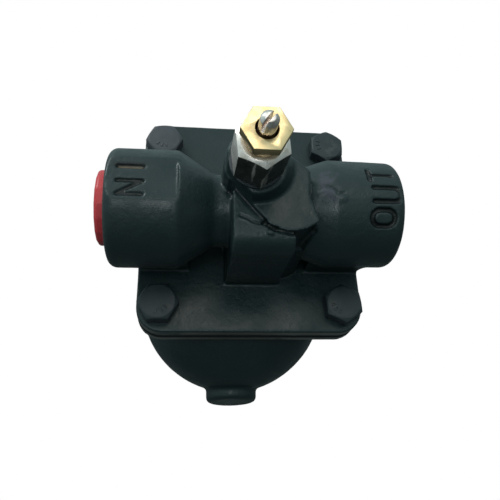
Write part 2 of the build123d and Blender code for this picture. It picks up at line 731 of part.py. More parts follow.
SEAT_HEX_Y = COVER_BACK_Y + SEAT_GASKET_T
SEAT_HEX_T = 2.8
SEAT_HEX_AF = 17.0
SEAT_SHANK_LENGTH = 6.0
SEAT_NOSE_Y = 38.0
SEAT_NOSE_R = 4.6
ORIFICE_R = 2.6
with BuildPart() as main_valve_seat:
    with BuildSketch(front_plane(SEAT_HEX_Y)):
        with Locations((0, SEAT_Z)):
            Circle(SEAT_TAP_R - RUNNING)
    extrude(amount=SEAT_SHANK_LENGTH)
    with BuildSketch(front_plane(SEAT_HEX_Y + SEAT_HEX_T)):
        with Locations((0, SEAT_Z)):
            RegularPolygon(SEAT_HEX_AF / 2, 6, major_radius=False)
    extrude(amount=SEAT_HEX_T)
    with BuildSketch(front_plane(SEAT_NOSE_Y)):
        with Locations((0, SEAT_Z)):
            Circle(SEAT_NOSE_R)
    extrude(amount=SEAT_NOSE_Y - SEAT_HEX_Y - SEAT_HEX_T + 1)
    with BuildSketch(front_plane(SEAT_NOSE_Y)):
        with Locations((0, SEAT_Z)):
            Circle(ORIFICE_R)
    extrude(amount=SEAT_NOSE_Y, mode=Mode.SUBTRACT)
finish(main_valve_seat, "main_valve_seat")

# bracket: a base plate on the cover and two ears that hold the pivot pin
EAR_X = 11.0
EAR_T = 1.5
BRACKET_T = 1.5
EAR_TOP_Z = 8.0
BRACKET_LOW_Z = -28.0
EAR_LIP = 4.0
BRACKET_SEAT_HOLE_R = 10.3
BRACKET_SCREW_HOLE_R = 2.2
PIN_FIT = 0.02
with BuildPart() as valve_bracket:
    with BuildSketch(front_plane(COVER_BACK_Y + BRACKET_T)):
        with Locations((0, (EAR_TOP_Z + BRACKET_LOW_Z) / 2)):
            Rectangle(2 * (EAR_X + EAR_T), EAR_TOP_Z - BRACKET_LOW_Z)
        with Locations((0, SEAT_Z)):
            Circle(BRACKET_SEAT_HOLE_R, mode=Mode.SUBTRACT)
        with bracket_screw_places():
            Circle(BRACKET_SCREW_HOLE_R, mode=Mode.SUBTRACT)
    extrude(amount=BRACKET_T)
    for side in (-1, 1):
        with BuildSketch(Plane.YZ.offset(side * EAR_X)):
            with BuildLine():
                Polyline(
                    (COVER_BACK_Y, BRACKET_LOW_Z),
                    (COVER_BACK_Y + EAR_LIP, BRACKET_LOW_Z),
                    (PIVOT_Y + EAR_LIP, PIVOT_Z - EAR_LIP),
                    (PIVOT_Y + EAR_LIP, EAR_TOP_Z),
                    (COVER_BACK_Y, EAR_TOP_Z),
                    (COVER_BACK_Y, BRACKET_LOW_Z),
                )
            make_face()
            with Locations((PIVOT_Y, PIVOT_Z)):
                Circle(PIN_R + PIN_FIT, mode=Mode.SUBTRACT)
        extrude(amount=side * EAR_T)
finish(valve_bracket, "valve_bracket")



def slotted_screws(places, seat_y, head, shank, slot, label):
    """Slotted cheese-head screws; head, shank and slot are (radius or width, length) pairs."""
    head_r, head_t = head
    shank_r, shank_length = shank
    slot_w, slot_depth = slot
    with BuildPart() as screws:
        with BuildSketch(front_plane(seat_y + head_t)):
            with places():
                Circle(head_r)
        extrude(amount=head_t)
        with BuildSketch(front_plane(seat_y)):
            with places():
                Circle(shank_r)
        extrude(amount=shank_length)
        with BuildSketch(front_plane(seat_y + head_t)):
            with places():
                Rectangle(3 * head_r, slot_w)
        extrude(amount=slot_depth, mode=Mode.SUBTRACT)
    finish(screws, label)


slotted_screws(
    bracket_screw_places,
    COVER_BACK_Y + BRACKET_T,
    (3.4, 2.4),
    (BRACKET_TAP_R - RUNNING, 5.5),
    (0.9, 1.1),
    "bracket_screws",
)

CLIP_T = 0.7
CLIP_R = 3.4
CLIP_MOUTH = 1.8
CLIP_GAP = 0.2
PIN_END_X = EAR_X + EAR_T + 2.2
with BuildPart() as pivot_pin:
    with BuildSketch(Plane.YZ.offset(-PIN_END_X)):
        with Locations((PIVOT_Y, PIVOT_Z)):
            Circle(PIN_R)
    extrude(amount=2 * PIN_END_X)
finish(pivot_pin, "pivot_pin")

with BuildPart() as pin_clips:
    for side in (-1, 1):
        with BuildSketch(Plane.YZ.offset(side * (EAR_X + EAR_T + CLIP_GAP))):
            with Locations((PIVOT_Y, PIVOT_Z)):
                Circle(CLIP_R)
                Circle(PIN_R + PIN_FIT, mode=Mode.SUBTRACT)
            with Locations((PIVOT_Y, PIVOT_Z + CLIP_R)):
                Rectangle(CLIP_MOUTH, 2 * CLIP_R, mode=Mode.SUBTRACT)
        extrude(amount=side * CLIP_T)
finish(pin_clips, "pin_clips")

LEVER_HUB_R = 3.4
ARM_HALF_W = 4.0
ARM_T = 3.0
ARM_PAST_SEAT = 4.0
LEVER_SIDE_GAP = 0.5
FLOAT_WELD = 0.4
FLOAT_DROP = Vector(FLOAT_Y - PIVOT_Y, FLOAT_Z - PIVOT_Z, 0)
ARM_ANGLE = Vector(1, 0, 0).get_signed_angle(FLOAT_DROP, Vector(0, 0, 1))
ARM_LENGTH = FLOAT_DROP.length - FLOAT_R + FLOAT_WELD
with BuildPart() as float_lever:
    with BuildSketch(Plane.YZ.offset(LEVER_SIDE_GAP - EAR_X)):
        with Locations((PIVOT_Y, PIVOT_Z)):
            Circle(LEVER_HUB_R)
    extrude(amount=2 * (EAR_X - LEVER_SIDE_GAP))
    with BuildSketch(Plane.YZ.offset(-ARM_HALF_W)):
        # arm down to the valve head
        with Locations((PIVOT_Y, (PIVOT_Z + SEAT_Z - ARM_PAST_SEAT) / 2)):
            Rectangle(ARM_T, PIVOT_Z - SEAT_Z + ARM_PAST_SEAT)
        # arm out to the float
        with Locations(Location((PIVOT_Y, PIVOT_Z, 0), (0, 0, ARM_ANGLE))):
            with Locations((ARM_LENGTH / 2, 0)):
                Rectangle(ARM_LENGTH, ARM_T)
    extrude(amount=2 * ARM_HALF_W)
    with BuildSketch(Plane.YZ.offset(-EAR_X)):
        with Locations((PIVOT_Y, PIVOT_Z)):
            Circle(PIN_R + RUNNING)
    extrude(amount=2 * EAR_X, mode=Mode.SUBTRACT)
finish(float_lever, "float_lever")

HEAD_BACK_Y = PIVOT_Y - ARM_T / 2
VALVE_HEAD_R = 4.2
VALVE_CONE_BASE_Y = SEAT_NOSE_Y + 2.4
VALVE_CONE_LENGTH = 2.3
VALVE_CONE_TAPER = 38.0
with BuildPart() as valve_head:
    with BuildSketch(front_plane(HEAD_BACK_Y)):
        with Locations((0, SEAT_Z)):
            Circle(VALVE_HEAD_R)
    extrude(amount=HEAD_BACK_Y - VALVE_CONE_BASE_Y)
    with BuildSketch(front_plane(VALVE_CONE_BASE_Y)):
        with Locations((0, SEAT_Z)):
            Circle(VALVE_HEAD_R)
    extrude(amount=VALVE_CONE_LENGTH, taper=VALVE_CONE_TAPER)
finish(valve_head, "valve_head")

with BuildPart() as ball_float:
    with Locations((0, FLOAT_Y, FLOAT_Z)):
        Sphere(FLOAT_R)
        Sphere(FLOAT_R - FLOAT_WALL, mode=Mode.SUBTRACT)
finish(ball_float, "ball_float")

# ---------------------------------------------------------------- thermostatic air vent

VENT_HEX_T = 3.0
VENT_HEX_AF = 12.0
VENT_SHANK_LENGTH = 4.6
VENT_SEAT_HOLE_R = 2.0
with BuildPart() as vent_seat:
    with BuildSketch(front_plane(COVER_BACK_Y + VENT_HEX_T)):
        with Locations((VENT_X, VENT_Z)):
            RegularPolygon(VENT_HEX_AF / 2, 6, major_radius=False)
    extrude(amount=VENT_HEX_T)
    with BuildSketch(front_plane(COVER_BACK_Y)):
        with Locations((VENT_X, VENT_Z)):
            Circle(VENT_TAP_R - RUNNING)
    extrude(amount=VENT_SHANK_LENGTH)
    with BuildSketch(front_plane(COVER_BACK_Y + VENT_HEX_T)):
        with Locations((VENT_X, VENT_Z)):
            Circle(VENT_SEAT_HOLE_R)
    extrude(amount=VENT_HEX_T + VENT_SHANK_LENGTH, mode=Mode.SUBTRACT)
finish(vent_seat, "vent_seat")

VENT_TRAVEL = 0.8
CAPSULE_R = 11.0
CAPSULE_ROUND = 1.5
CAPSULE_FRONT_Y = COVER_BACK_Y + 6.0
CAPSULE_T = 5.0
CAPSULE_BACK_Y = CAPSULE_FRONT_Y + CAPSULE_T
VENT_STEM_R = 2.5
with BuildPart() as vent_capsule:
    with BuildSketch(front_plane(CAPSULE_BACK_Y)):
        with Locations((VENT_X, VENT_Z)):
            Circle(CAPSULE_R)
            Circle(VENT_STEM_R, mode=Mode.SUBTRACT)
    extrude(amount=CAPSULE_T)
    rims = vent_capsule.edges().filter_by(GeomType.CIRCLE).group_by(SortBy.RADIUS)[-1]
    fillet(rims, radius=CAPSULE_ROUND)
finish(vent_capsule, "vent_capsule")

VENT_HEAD_R = 3.2
VENT_HEAD_TAPER = 20.0
VENT_HEAD_GAP = 1.0
with BuildPart() as vent_valve:
    with BuildSketch(front_plane(CAPSULE_BACK_Y)):
        with Locations((VENT_X, VENT_Z)):
            Circle(VENT_STEM_R - RUNNING)
    extrude(amount=CAPSULE_T + VENT_HEAD_GAP)
    with BuildSketch(front_plane(CAPSULE_FRONT_Y - VENT_HEAD_GAP)):
        with Locations((VENT_X, VENT_Z)):
            Circle(VENT_HEAD_R)
    extrude(amount=2 * VENT_HEAD_GAP - VENT_TRAVEL, taper=VENT_HEAD_TAPER)
finish(vent_valve, "vent_valve")

CLAMP_HALF = 12.2
CLAMP_T = 0.8
CLAMP_W = 6.0
CLAMP_FOOT = 6.6
CLAMP_HOLE_R = 1.6
with BuildPart() as vent_clamp:
    with BuildSketch(Plane.XY.offset(VENT_Z - CLAMP_W / 2)):
        for side in (-1, 1):
            leg_x = VENT_X + side * (CLAMP_HALF - CLAMP_T / 2)
            foot_x = VENT_X + side * (CLAMP_HALF - 0.3 + CLAMP_FOOT / 2)
            with Locations((leg_x, (COVER_BACK_Y + CAPSULE_BACK_Y + CLAMP_T) / 2)):
                Rectangle(CLAMP_T, CAPSULE_BACK_Y + CLAMP_T - COVER_BACK_Y)
            with Locations((foot_x, COVER_BACK_Y + CLAMP_T / 2)):
                Rectangle(CLAMP_FOOT, CLAMP_T)
        with Locations((VENT_X, CAPSULE_BACK_Y + CLAMP_T / 2)):
            Rectangle(2 * CLAMP_HALF, CLAMP_T)
    extrude(amount=CLAMP_W)
    with BuildSketch(front_plane(COVER_BACK_Y + CLAMP_T)):
        with vent_screw_places():
            Circle(CLAMP_HOLE_R)
    extrude(amount=CLAMP_T, mode=Mode.SUBTRACT)
finish(vent_clamp, "vent_clamp")

slotted_screws(
    vent_screw_places,
    COVER_BACK_Y + CLAMP_T,
    (2.7, 1.8),
    (VENT_SCREW_TAP_R - RUNNING, 5.0),
    (0.8, 0.9),
    "vent_screws",
)
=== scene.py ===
import json
import math
import bmesh
import bpy
import numpy as np
from mathutils import Matrix, Vector, noise


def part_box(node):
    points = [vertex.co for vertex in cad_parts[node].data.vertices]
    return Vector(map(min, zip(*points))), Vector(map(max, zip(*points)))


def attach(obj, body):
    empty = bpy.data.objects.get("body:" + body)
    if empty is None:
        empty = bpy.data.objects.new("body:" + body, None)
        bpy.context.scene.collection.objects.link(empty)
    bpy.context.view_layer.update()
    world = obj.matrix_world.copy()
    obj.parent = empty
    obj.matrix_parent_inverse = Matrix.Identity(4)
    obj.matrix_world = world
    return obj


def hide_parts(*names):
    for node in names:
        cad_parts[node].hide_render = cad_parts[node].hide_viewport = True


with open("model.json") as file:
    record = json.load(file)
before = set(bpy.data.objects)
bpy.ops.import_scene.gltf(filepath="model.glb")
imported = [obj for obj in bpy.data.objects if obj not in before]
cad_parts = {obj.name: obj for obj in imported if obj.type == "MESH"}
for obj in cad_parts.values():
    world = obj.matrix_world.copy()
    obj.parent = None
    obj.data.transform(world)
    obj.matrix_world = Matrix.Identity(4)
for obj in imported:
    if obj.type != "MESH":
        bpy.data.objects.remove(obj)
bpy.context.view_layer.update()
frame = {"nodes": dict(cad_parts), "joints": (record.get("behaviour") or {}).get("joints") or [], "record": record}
MM = 0.001
NODES = frame["nodes"]
BODY_OF = {node: body for body, nodes in frame["record"]["behaviour"]["bodies"].items() for node in nodes}


# ---------------------------------------------------------------- places read from the frame


def middle(node):
    """Centre of a CAD node's box."""
    low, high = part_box(node)
    return (Vector(low) + Vector(high)) / 2


def joint(name):
    """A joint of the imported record."""
    return next(j for j in frame["joints"] if j["name"] == name)


VALVE_OUT = Vector(joint("spindle_turn")["axis"]).normalized()
GASKET_Y = middle("cover_gasket").y


# ---------------------------------------------------------------- node graph helpers


class Graph:
    """Small helper that adds and joins shader nodes of one material."""

    def __init__(self, name):
        self.material = bpy.data.materials.new(name)
        self.material.use_nodes = True
        self.nodes = self.material.node_tree.nodes
        self.links = self.material.node_tree.links
        self.shader = self.nodes["Principled BSDF"]
        self.place = self.add("ShaderNodeTexCoord").outputs["Object"]

    def add(self, kind, **settings):
        """A new node with its settings."""
        node = self.nodes.new(kind)
        for key, value in settings.items():
            setattr(node, key, value)
        return node

    def join(self, out, socket):
        """Links an output to an input socket."""
        self.links.new(out, socket)

    def noise(self, scale, detail=4.0, roughness=0.55):
        """Even noise over the surface."""
        node = self.add("ShaderNodeTexNoise")
        node.inputs["Scale"].default_value = scale
        node.inputs["Detail"].default_value = detail
        node.inputs["Roughness"].default_value = roughness
        self.join(self.place, node.inputs["Vector"])
        return node.outputs["Fac"]

    def stretched_noise(self, stretch):
        """Noise whose coordinates are scaled on each axis, for turned or brushed marks."""
        mapping = self.add("ShaderNodeMapping")
        mapping.inputs["Scale"].default_value = stretch
        self.join(self.place, mapping.inputs["Vector"])
        node = self.add("ShaderNodeTexNoise")
        node.inputs["Scale"].default_value = 1.0
        node.inputs["Detail"].default_value = 3.0
        self.join(mapping.outputs["Vector"], node.inputs["Vector"])
        return node.outputs["Fac"]

    def ramp(self, fac, *stops):
        """Colour ramp through (position, colour) stops."""
        node = self.add("ShaderNodeValToRGB")
        ramp = node.color_ramp
        while len(ramp.elements) < len(stops):
            ramp.elements.new(0.5)
        for element, (position, colour) in zip(ramp.elements, stops):
            element.position = position
            element.color = (*colour, 1.0)
        self.join(fac, node.inputs["Fac"])
        return node.outputs["Color"]

    def span(self, fac, low, high, to_low=0.0, to_high=1.0):
        """Maps low..high of a value to to_low..to_high, held at the ends."""
        node = self.add("ShaderNodeMapRange")
        self.join(fac, node.inputs["Value"])
        node.inputs["From Min"].default_value = low
        node.inputs["From Max"].default_value = high
        node.inputs["To Min"].default_value = to_low
        node.inputs["To Max"].default_value = to_high
        return node.outputs["Result"]

    def gloss(self, scale, low, high, detail=5.0):
        """Roughness that wanders between low and high over the surface."""
        return self.span(self.noise(scale, detail=detail), 0.3, 0.7, low, high)

    def math(self, operation, a, b=None):
        """One arithmetic step on sockets or numbers."""
        node = self.add("ShaderNodeMath", operation=operation)
        for socket, value in zip(node.inputs, (a, b)):
            if value is None:
                continue
            if isinstance(value, (int, float)):
                socket.default_value = value
            else:
                self.join(value, socket)
        return node.outputs["Value"]

    def both(self, *masks):
        """Product of masks, the last of which may be a number."""
        product = masks[0]
        for mask in masks[1:]:
            product = self.math("MULTIPLY", product, mask)
        return product

    def mix(self, fac, a, b):
        """Mix of two colours, each a colour tuple or a socket."""
        node = self.add("ShaderNodeMix", data_type="RGBA")
        self.join(fac, node.inputs["Factor"])
        for key, value in (("A", a), ("B", b)):
            socket = next(s for s in node.inputs if s.name == key and s.type == "RGBA")
            if isinstance(value, tuple):
                socket.default_value = (*value, 1.0)
            else:
                self.join(value, socket)
        return next(s for s in node.outputs if s.type == "RGBA")

    def axis(self, name):
        """One coordinate of the surface point, in metres."""
        node = self.add("ShaderNodeSeparateXYZ")
        self.join(self.place, node.inputs["Vector"])
        return node.outputs[name]

    def facing(self, direction):
        """How far the surface's true normal points along a world direction."""
        node = self.add("ShaderNodeVectorMath", operation="DOT_PRODUCT")
        self.join(self.add("ShaderNodeNewGeometry").outputs["True Normal"], node.inputs[0])
        node.inputs[1].default_value = direction
        return node.outputs["Value"]

    def band(self, fac, low, high, soft):
        """One between low and high, falling to nought over soft on each side."""
        rise = self.span(fac, low - soft, low)
        fall = self.span(fac, high, high + soft, 1.0, 0.0)
        return self.math("MULTIPLY", rise, fall)

    def slab(self, name, limits, soft):
        """One between two places along an axis."""
        return self.band(self.axis(name), *limits, soft)

    def below(self, name, low, high):
        """One below low along an axis, falling to nought at high."""
        return self.span(self.axis(name), low, high, 1.0, 0.0)

    def edges(self, low, high):
        """Rises on convex edges, or in hollows when low is the greater."""
        node = self.add("ShaderNodeNewGeometry")
        return self.span(node.outputs["Pointiness"], low, high)

    def bump(self, *layers):
        """Bump from (height, strength, distance) layers."""
        normal = None
        for height, strength, distance in layers:
            node = self.add("ShaderNodeBump")
            node.inputs["Strength"].default_value = strength
            node.inputs["Distance"].default_value = distance
            self.join(height, node.inputs["Height"])
            if normal is not None:
                self.join(normal, node.inputs["Normal"])
            normal = node.outputs["Normal"]
        self.join(normal, self.shader.inputs["Normal"])

    def finish(self, colour, roughness, metallic=0.0, **uniform):
        """Joins the colour and roughness, and sets the shader's uniform inputs."""
        self.join(colour, self.shader.inputs["Base Color"])
        if isinstance(roughness, (int, float)):
            self.shader.inputs["Roughness"].default_value = roughness
        else:
            self.join(roughness, self.shader.inputs["Roughness"])
        if metallic is not None:
            self.shader.inputs["Metallic"].default_value = metallic
        for key, value in uniform.items():
            self.shader.inputs[key.replace("_", " ")].default_value = value
        return self.material


# ---------------------------------------------------------------- materials

# colours of the castings' paint, among them painted shade and a painted sheen
PAINT_SHADES = (
    (0.30, (0.0130, 0.0265, 0.0280)),
    (0.55, (0.0165, 0.0310, 0.0325)),
    (0.75, (0.0220, 0.0350, 0.0390)),
)
DUST = (0.055, 0.058, 0.058)
THIN_PAINT = (0.070, 0.074, 0.074)
WORN_RIM = (0.150, 0.138, 0.120)
JOINT_BLACK = (0.003, 0.004, 0.004)
# painted shade at the bottom of the sunk letters
LETTER_SHADE = (0.003, 0.005, 0.006)
# painted shade laid into hollows and creases
HOLLOW_SHADE = (0.004, 0.006, 0.007)
# painted highlight: a pale bluish sheen on the outlet shoulder
SHOULDER_SHEEN = (0.060, 0.062, 0.085)
RUST = ((0.110, 0.065, 0.030), (0.30, 0.25, 0.18))

# where the paint changes, in metres
SOFT = 0.0005
JOINT_GAP = (0.0014, 0.0022)
JOINT_RIM = (0.0026, 0.0054)
INLET_LETTERS = {"X": (-0.0575, -0.0435), "Z": (-0.0092, 0.0082)}
INLET_FLOOR_Y = (-0.0224, -0.0200)
INLET_FLOOR_SOFT = 0.00035
OUTLET_LETTERS_X = (0.0435, 0.0575)
OUTLET_FLOOR_R = (0.0205, 0.02245)
OUTLET_FLOOR_SOFT = 0.0004
SHOULDER_X, SHOULDER_X_SOFT = (0.026, 0.032), 0.002
SHOULDER_Z, SHOULDER_Z_SOFT = (-0.005, 0.006), 0.004
RUST_X = (-0.055, -0.046)
RUST_Z = (0.0042, 0.0064)
RUST_Y = (-0.0221, -0.0200)
RUST_SOFT = 0.0006


def paint_joint(g, colour):
    """Wears both flange edges pale, with the joint between them black."""
    from_joint = g.math("ABSOLUTE", g.math("SUBTRACT", g.axis("Y"), GASKET_Y))
    patchy = g.span(g.noise(75.0, detail=5.0), 0.26, 0.46)
    rim = g.both(g.band(from_joint, *JOINT_RIM, SOFT), patchy)
    colour = g.mix(rim, colour, WORN_RIM)
    return g.mix(g.span(from_joint, *JOINT_GAP, 1.0, 0.0), colour, JOINT_BLACK)


def paint_letter_shade(g, colour):
    """Darkens the bottom of the sunk letters to near black: painted shade in the recesses."""
    inlet = g.both(*(g.slab(name, limits, SOFT) for name, limits in INLET_LETTERS.items()))
    inlet_floor = g.both(inlet, g.slab("Y", INLET_FLOOR_Y, INLET_FLOOR_SOFT))
    squares = [g.math("MULTIPLY", g.axis(name), g.axis(name)) for name in ("Y", "Z")]
    radius = g.math("SQRT", g.math("ADD", *squares))
    outlet = g.both(g.slab("X", OUTLET_LETTERS_X, SOFT), g.below("Y", -0.001, 0.0))
    outlet_floor = g.both(outlet, g.band(radius, *OUTLET_FLOOR_R, OUTLET_FLOOR_SOFT))
    # painted shade: the letter bottoms are mixed to near black
    return g.mix(g.math("MAXIMUM", inlet_floor, outlet_floor), colour, LETTER_SHADE)


def paint_shoulder_sheen(g, colour):
    """Paints a pale bluish sheen on the front of the outlet shoulder: a painted highlight where the rounded
    shoulder faces the light.
    """
    shoulder = g.both(g.slab("X", SHOULDER_X, SHOULDER_X_SOFT), g.slab("Z", SHOULDER_Z, SHOULDER_Z_SOFT))
    front = g.below("Y", -0.017, -0.015)
    sheen = g.both(shoulder, front, g.span(g.noise(210.0, detail=5.0), 0.42, 0.58))
    # painted highlight: the sheen colour is mixed in on the shoulder's front
    return g.mix(g.both(sheen, 0.8), colour, SHOULDER_SHEEN)


def paint_rust(g, colour):
    """Shows unpainted rust at the bottom of the inlet's first letter."""
    groove = g.both(g.slab("X", RUST_X, RUST_SOFT), g.slab("Z", RUST_Z, RUST_SOFT))
    rusty = g.both(groove, g.slab("Y", RUST_Y, SOFT))
    return g.mix(rusty, colour, g.mix(g.noise(900.0, detail=5.0), *RUST))


def casting_paint():
    """Blue-black brushed paint over cast iron: uneven gloss, dust, thin edges and pitting, with painted shade in
    hollows and sunk letters and a painted sheen on the outlet shoulder.
    """
    g = Graph("casting_paint")
    colour = g.ramp(g.noise(38.0, detail=3.0), *PAINT_SHADES)
    dust = g.span(g.noise(700.0, detail=6.0, roughness=0.7), 0.62, 0.80)
    colour = g.mix(g.both(dust, 0.22), colour, DUST)
    thin = g.both(g.edges(0.53, 0.60), g.span(g.noise(160.0), 0.42, 0.62))
    colour = g.mix(g.both(thin, 0.45), colour, THIN_PAINT)
    for detail in (paint_joint, paint_letter_shade, paint_shoulder_sheen, paint_rust):
        colour = detail(g, colour)
    # painted shade: hollows and creases are darkened towards near black
    colour = g.mix(g.both(g.edges(0.485, 0.44), 0.75), colour, HOLLOW_SHADE)
    rough = g.span(g.noise(90.0, detail=6.0, roughness=0.65), 0.35, 0.65, 0.30, 0.52)
    pitted = g.span(g.noise(480.0, detail=3.0), 0.30, 0.46)
    g.bump(
        (g.noise(170.0), 0.55, 0.00060),
        (g.noise(620.0, roughness=0.6), 0.50, 0.00022),
        (pitted, 0.30, 0.00016),
    )
    return g.finish(colour, rough, Specular_IOR_Level=0.38, Coat_Weight=0.08, Coat_Roughness=0.2)


def bolt_paint():
    """Thinner, greyer paint on steel hexagons; the upper left bolt is paler grey, partly where its paint has
    rubbed off and partly as painted light from the upper left.
    """
    g = Graph("bolt_paint")
    paint = g.ramp(g.noise(150.0), (0.35, (0.015, 0.026, 0.029)), (0.7, (0.026, 0.036, 0.041)))
    bare_and_lit = g.ramp(g.noise(200.0), (0.35, (0.050, 0.054, 0.066)), (0.7, (0.068, 0.072, 0.084)))
    # partly painted light: the upper left bolt is paler, partly rubbed-off paint and partly light falling from the
    # upper left
    upper_left = g.both(g.below("X", -0.001, 0.0), g.span(g.axis("Z"), 0.0, 0.001))
    colour = g.mix(upper_left, paint, bare_and_lit)
    thin = g.both(g.edges(0.52, 0.62), g.span(g.noise(420.0), 0.45, 0.6))
    colour = g.mix(g.both(thin, 0.5), colour, (0.12, 0.12, 0.118))
    g.bump(
        (g.noise(420.0, detail=3.0), 0.25, 0.00025),
        (g.noise(1500.0, detail=3.0), 0.20, 0.00010),
    )
    return g.finish(colour, g.gloss(300.0, 0.42, 0.60), Coat_Weight=0.08, Coat_Roughness=0.35)


def stained(g, clean, stain):
    """Steel colour with patches of stain."""
    stains = g.span(g.noise(210.0, detail=6.0, roughness=0.7), 0.50, 0.72)
    return g.mix(stains, clean, stain)


def stainless(name, stretch):
    """Bright stainless with fine cutter marks and tea-coloured stains."""
    g = Graph(name)
    colour = stained(g, (0.88, 0.79, 0.74), (0.52, 0.43, 0.35))
    g.bump((g.stretched_noise(stretch), 0.22, 0.00008), (g.noise(900.0), 0.16, 0.00008))
    return g.finish(colour, g.gloss(330.0, 0.22, 0.42), metallic=1.0)


def overpainted_stainless():
    """Stainless hexagon whose sides caught the casting's paint, worst underneath."""
    g = Graph("release_body_steel")
    steel = stained(g, (1.0, 0.90, 0.84), (0.74, 0.62, 0.50))
    side = g.span(g.math("ABSOLUTE", g.facing(VALVE_OUT)), 0.35, 0.55, 1.0, 0.0)
    under = g.span(g.facing((-0.25, 0.0, 1.0)), -0.25, 0.10, 1.0, 0.0)
    streaks = g.span(g.stretched_noise((420.0, 60.0, 60.0)), 0.26, 0.44)
    cover = g.both(side, under, streaks)
    olive = g.ramp(g.noise(300.0), (0.35, (0.018, 0.024, 0.020)), (0.7, (0.042, 0.043, 0.034)))
    g.join(g.span(cover, 0.2, 0.8, 0.7, 0.0), g.shader.inputs["Metallic"])
    g.bump((g.noise(700.0, detail=3.0), 0.25, 0.00014), (g.noise(220.0), 0.2, 0.0003))
    return g.finish(g.mix(cover, steel, olive), g.gloss(330.0, 0.24, 0.44), metallic=None)


def brass():
    """Machined brass, slightly tarnished, darker on the sides than on the faced end."""
    g = Graph("brass")
    tarnish = g.span(g.noise(170.0, detail=6.0, roughness=0.65), 0.48, 0.75)
    face = g.mix(tarnish, (1.0, 0.76, 0.42), (0.92, 0.62, 0.30))
    side = g.span(g.math("ABSOLUTE", g.facing(VALVE_OUT)), 0.5, 0.8, 1.0, 0.0)
    colour = g.mix(g.both(side, 0.8), face, (0.60, 0.43, 0.23))
    spots = g.span(g.noise(620.0, detail=3.0), 0.70, 0.78)
    colour = g.mix(g.both(spots, 0.5), colour, (0.25, 0.16, 0.06))
    g.bump((g.stretched_noise((1800.0, 120.0, 120.0)), 0.12, 0.00006), (g.noise(800.0), 0.15, 0.00008))
    return g.finish(colour, g.gloss(260.0, 0.28, 0.44), metallic=1.0)


def red_plastic():
    """Moulded red polyethylene: slightly waxy, with fine drag marks."""
    g = Graph("red_plastic")
    colour = g.ramp(g.noise(120.0), (0.3, (0.66, 0.040, 0.050)), (0.7, (0.78, 0.070, 0.080)))
    g.bump((g.noise(700.0), 0.18, 0.00015), (g.noise(130.0), 0.3, 0.0006))
    return g.finish(
        colour,
        g.gloss(260.0, 0.34, 0.50, detail=4.0),
        Subsurface_Weight=0.25,
        Subsurface_Radius=(0.005, 0.001, 0.001),
        Subsurface_Scale=0.6,
    )


def graphite():
    """Grey-black graphite sheet or packing."""
    g = Graph("graphite")
    colour = g.ramp(g.noise(500.0, detail=5.0), (0.3, (0.004, 0.004, 0.004)), (0.7, (0.012, 0.012, 0.011)))
    g.bump((g.noise(1400.0, detail=3.0), 0.35, 0.0002))
    return g.finish(colour, g.gloss(400.0, 0.6, 0.85, detail=4.0), Specular_IOR_Level=0.2)


# ---------------------------------------------------------------- mesh helpers

WELD = 1e-6
FLAT_ANGLE = 0.6
SKIN_WAVES = ((110.0, 0.6), (260.0, 0.3))


def new_piece(name, mesh_maker):
    """A new object in the scene, its mesh made by a function that fills a bmesh."""
    bm = bmesh.new()
    mesh_maker(bm)
    mesh = bpy.data.meshes.new(name)
    bm.to_mesh(mesh)
    bm.free()
    piece = bpy.data.objects.new(name, mesh)
    bpy.context.scene.collection.objects.link(piece)
    return piece


def copy_of(node, name):
    """A new object with a CAD node's welded mesh."""

    def weld(bm):
        bm.from_mesh(NODES[node].data)
        bmesh.ops.remove_doubles(bm, verts=bm.verts, dist=WELD)
        bmesh.ops.recalc_face_normals(bm, faces=bm.faces)

    return new_piece(name, weld)


def bake_modifiers(piece):
    """Applies a piece's modifiers to its mesh."""
    graph = bpy.context.evaluated_depsgraph_get()
    mesh = bpy.data.meshes.new_from_object(piece.evaluated_get(graph))
    old = piece.data
    piece.modifiers.clear()
    piece.data = mesh
    bpy.data.meshes.remove(old)


def dress(piece, material, smooth_angle=None):
    """Gives a piece its material and shading."""
    piece.data.materials.clear()
    piece.data.materials.append(material)
    for polygon in piece.data.polygons:
        polygon.use_smooth = True
    if smooth_angle is not None:
        piece.data.set_sharp_from_angle(angle=math.radians(smooth_angle))


def bevelled(node, name, width, material, crease=28.0):
    """The CAD form of a machined or moulded piece with its sharp edges broken."""
    piece = copy_of(node, name)
    flat = piece.modifiers.new("flat", "DECIMATE")
    flat.decimate_type = "DISSOLVE"
    flat.angle_limit = math.radians(FLAT_ANGLE)
    flat.delimit = {"SHARP"}
    bevel = piece.modifiers.new("bevel", "BEVEL")
    bevel.width = width
    bevel.segments = 2
    bevel.limit_method = "ANGLE"
    bevel.angle_limit = math.radians(crease)
    bevel.use_clamp_overlap = True
    bake_modifiers(piece)
    dress(piece, material, smooth_angle=crease)
    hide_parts(node)
    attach(piece, BODY_OF[node])
    return piece


def nearest_on(points, line):
    """Distance of each point, in metres, from a line of places in millimetres."""
    best = np.full(len(points), np.inf)
    for start, end in zip(line[:-1], line[1:]):
        a = np.array(start) * MM
        step = np.array(end) * MM - a
        share = np.clip((points - a) @ step / (step @ step), 0, 1)
        gap = np.linalg.norm(points - a - share[:, None] * step, axis=1)
        best = np.minimum(best, gap)
    return best


def sculpt_front(piece, line, width, height, y_range):
    """Raises (or sinks) the front skin along an (x, z) line, in millimetres."""
    mesh = piece.data
    count = len(mesh.vertices)
    co = np.empty(count * 3)
    mesh.vertices.foreach_get("co", co)
    co = co.reshape(-1, 3)
    near = np.maximum(0, 1 - nearest_on(co[:, [0, 2]], line) / (width * MM))
    near[(co[:, 1] < y_range[0] * MM) | (co[:, 1] > y_range[1] * MM)] = 0
    amount = near * near * (3 - 2 * near) * height * MM
    normals = np.empty(count * 3)
    mesh.vertex_normals.foreach_get("vector", normals)
    co += normals.reshape(-1, 3) * amount[:, None]
    mesh.vertices.foreach_set("co", co.ravel())
    mesh.update()


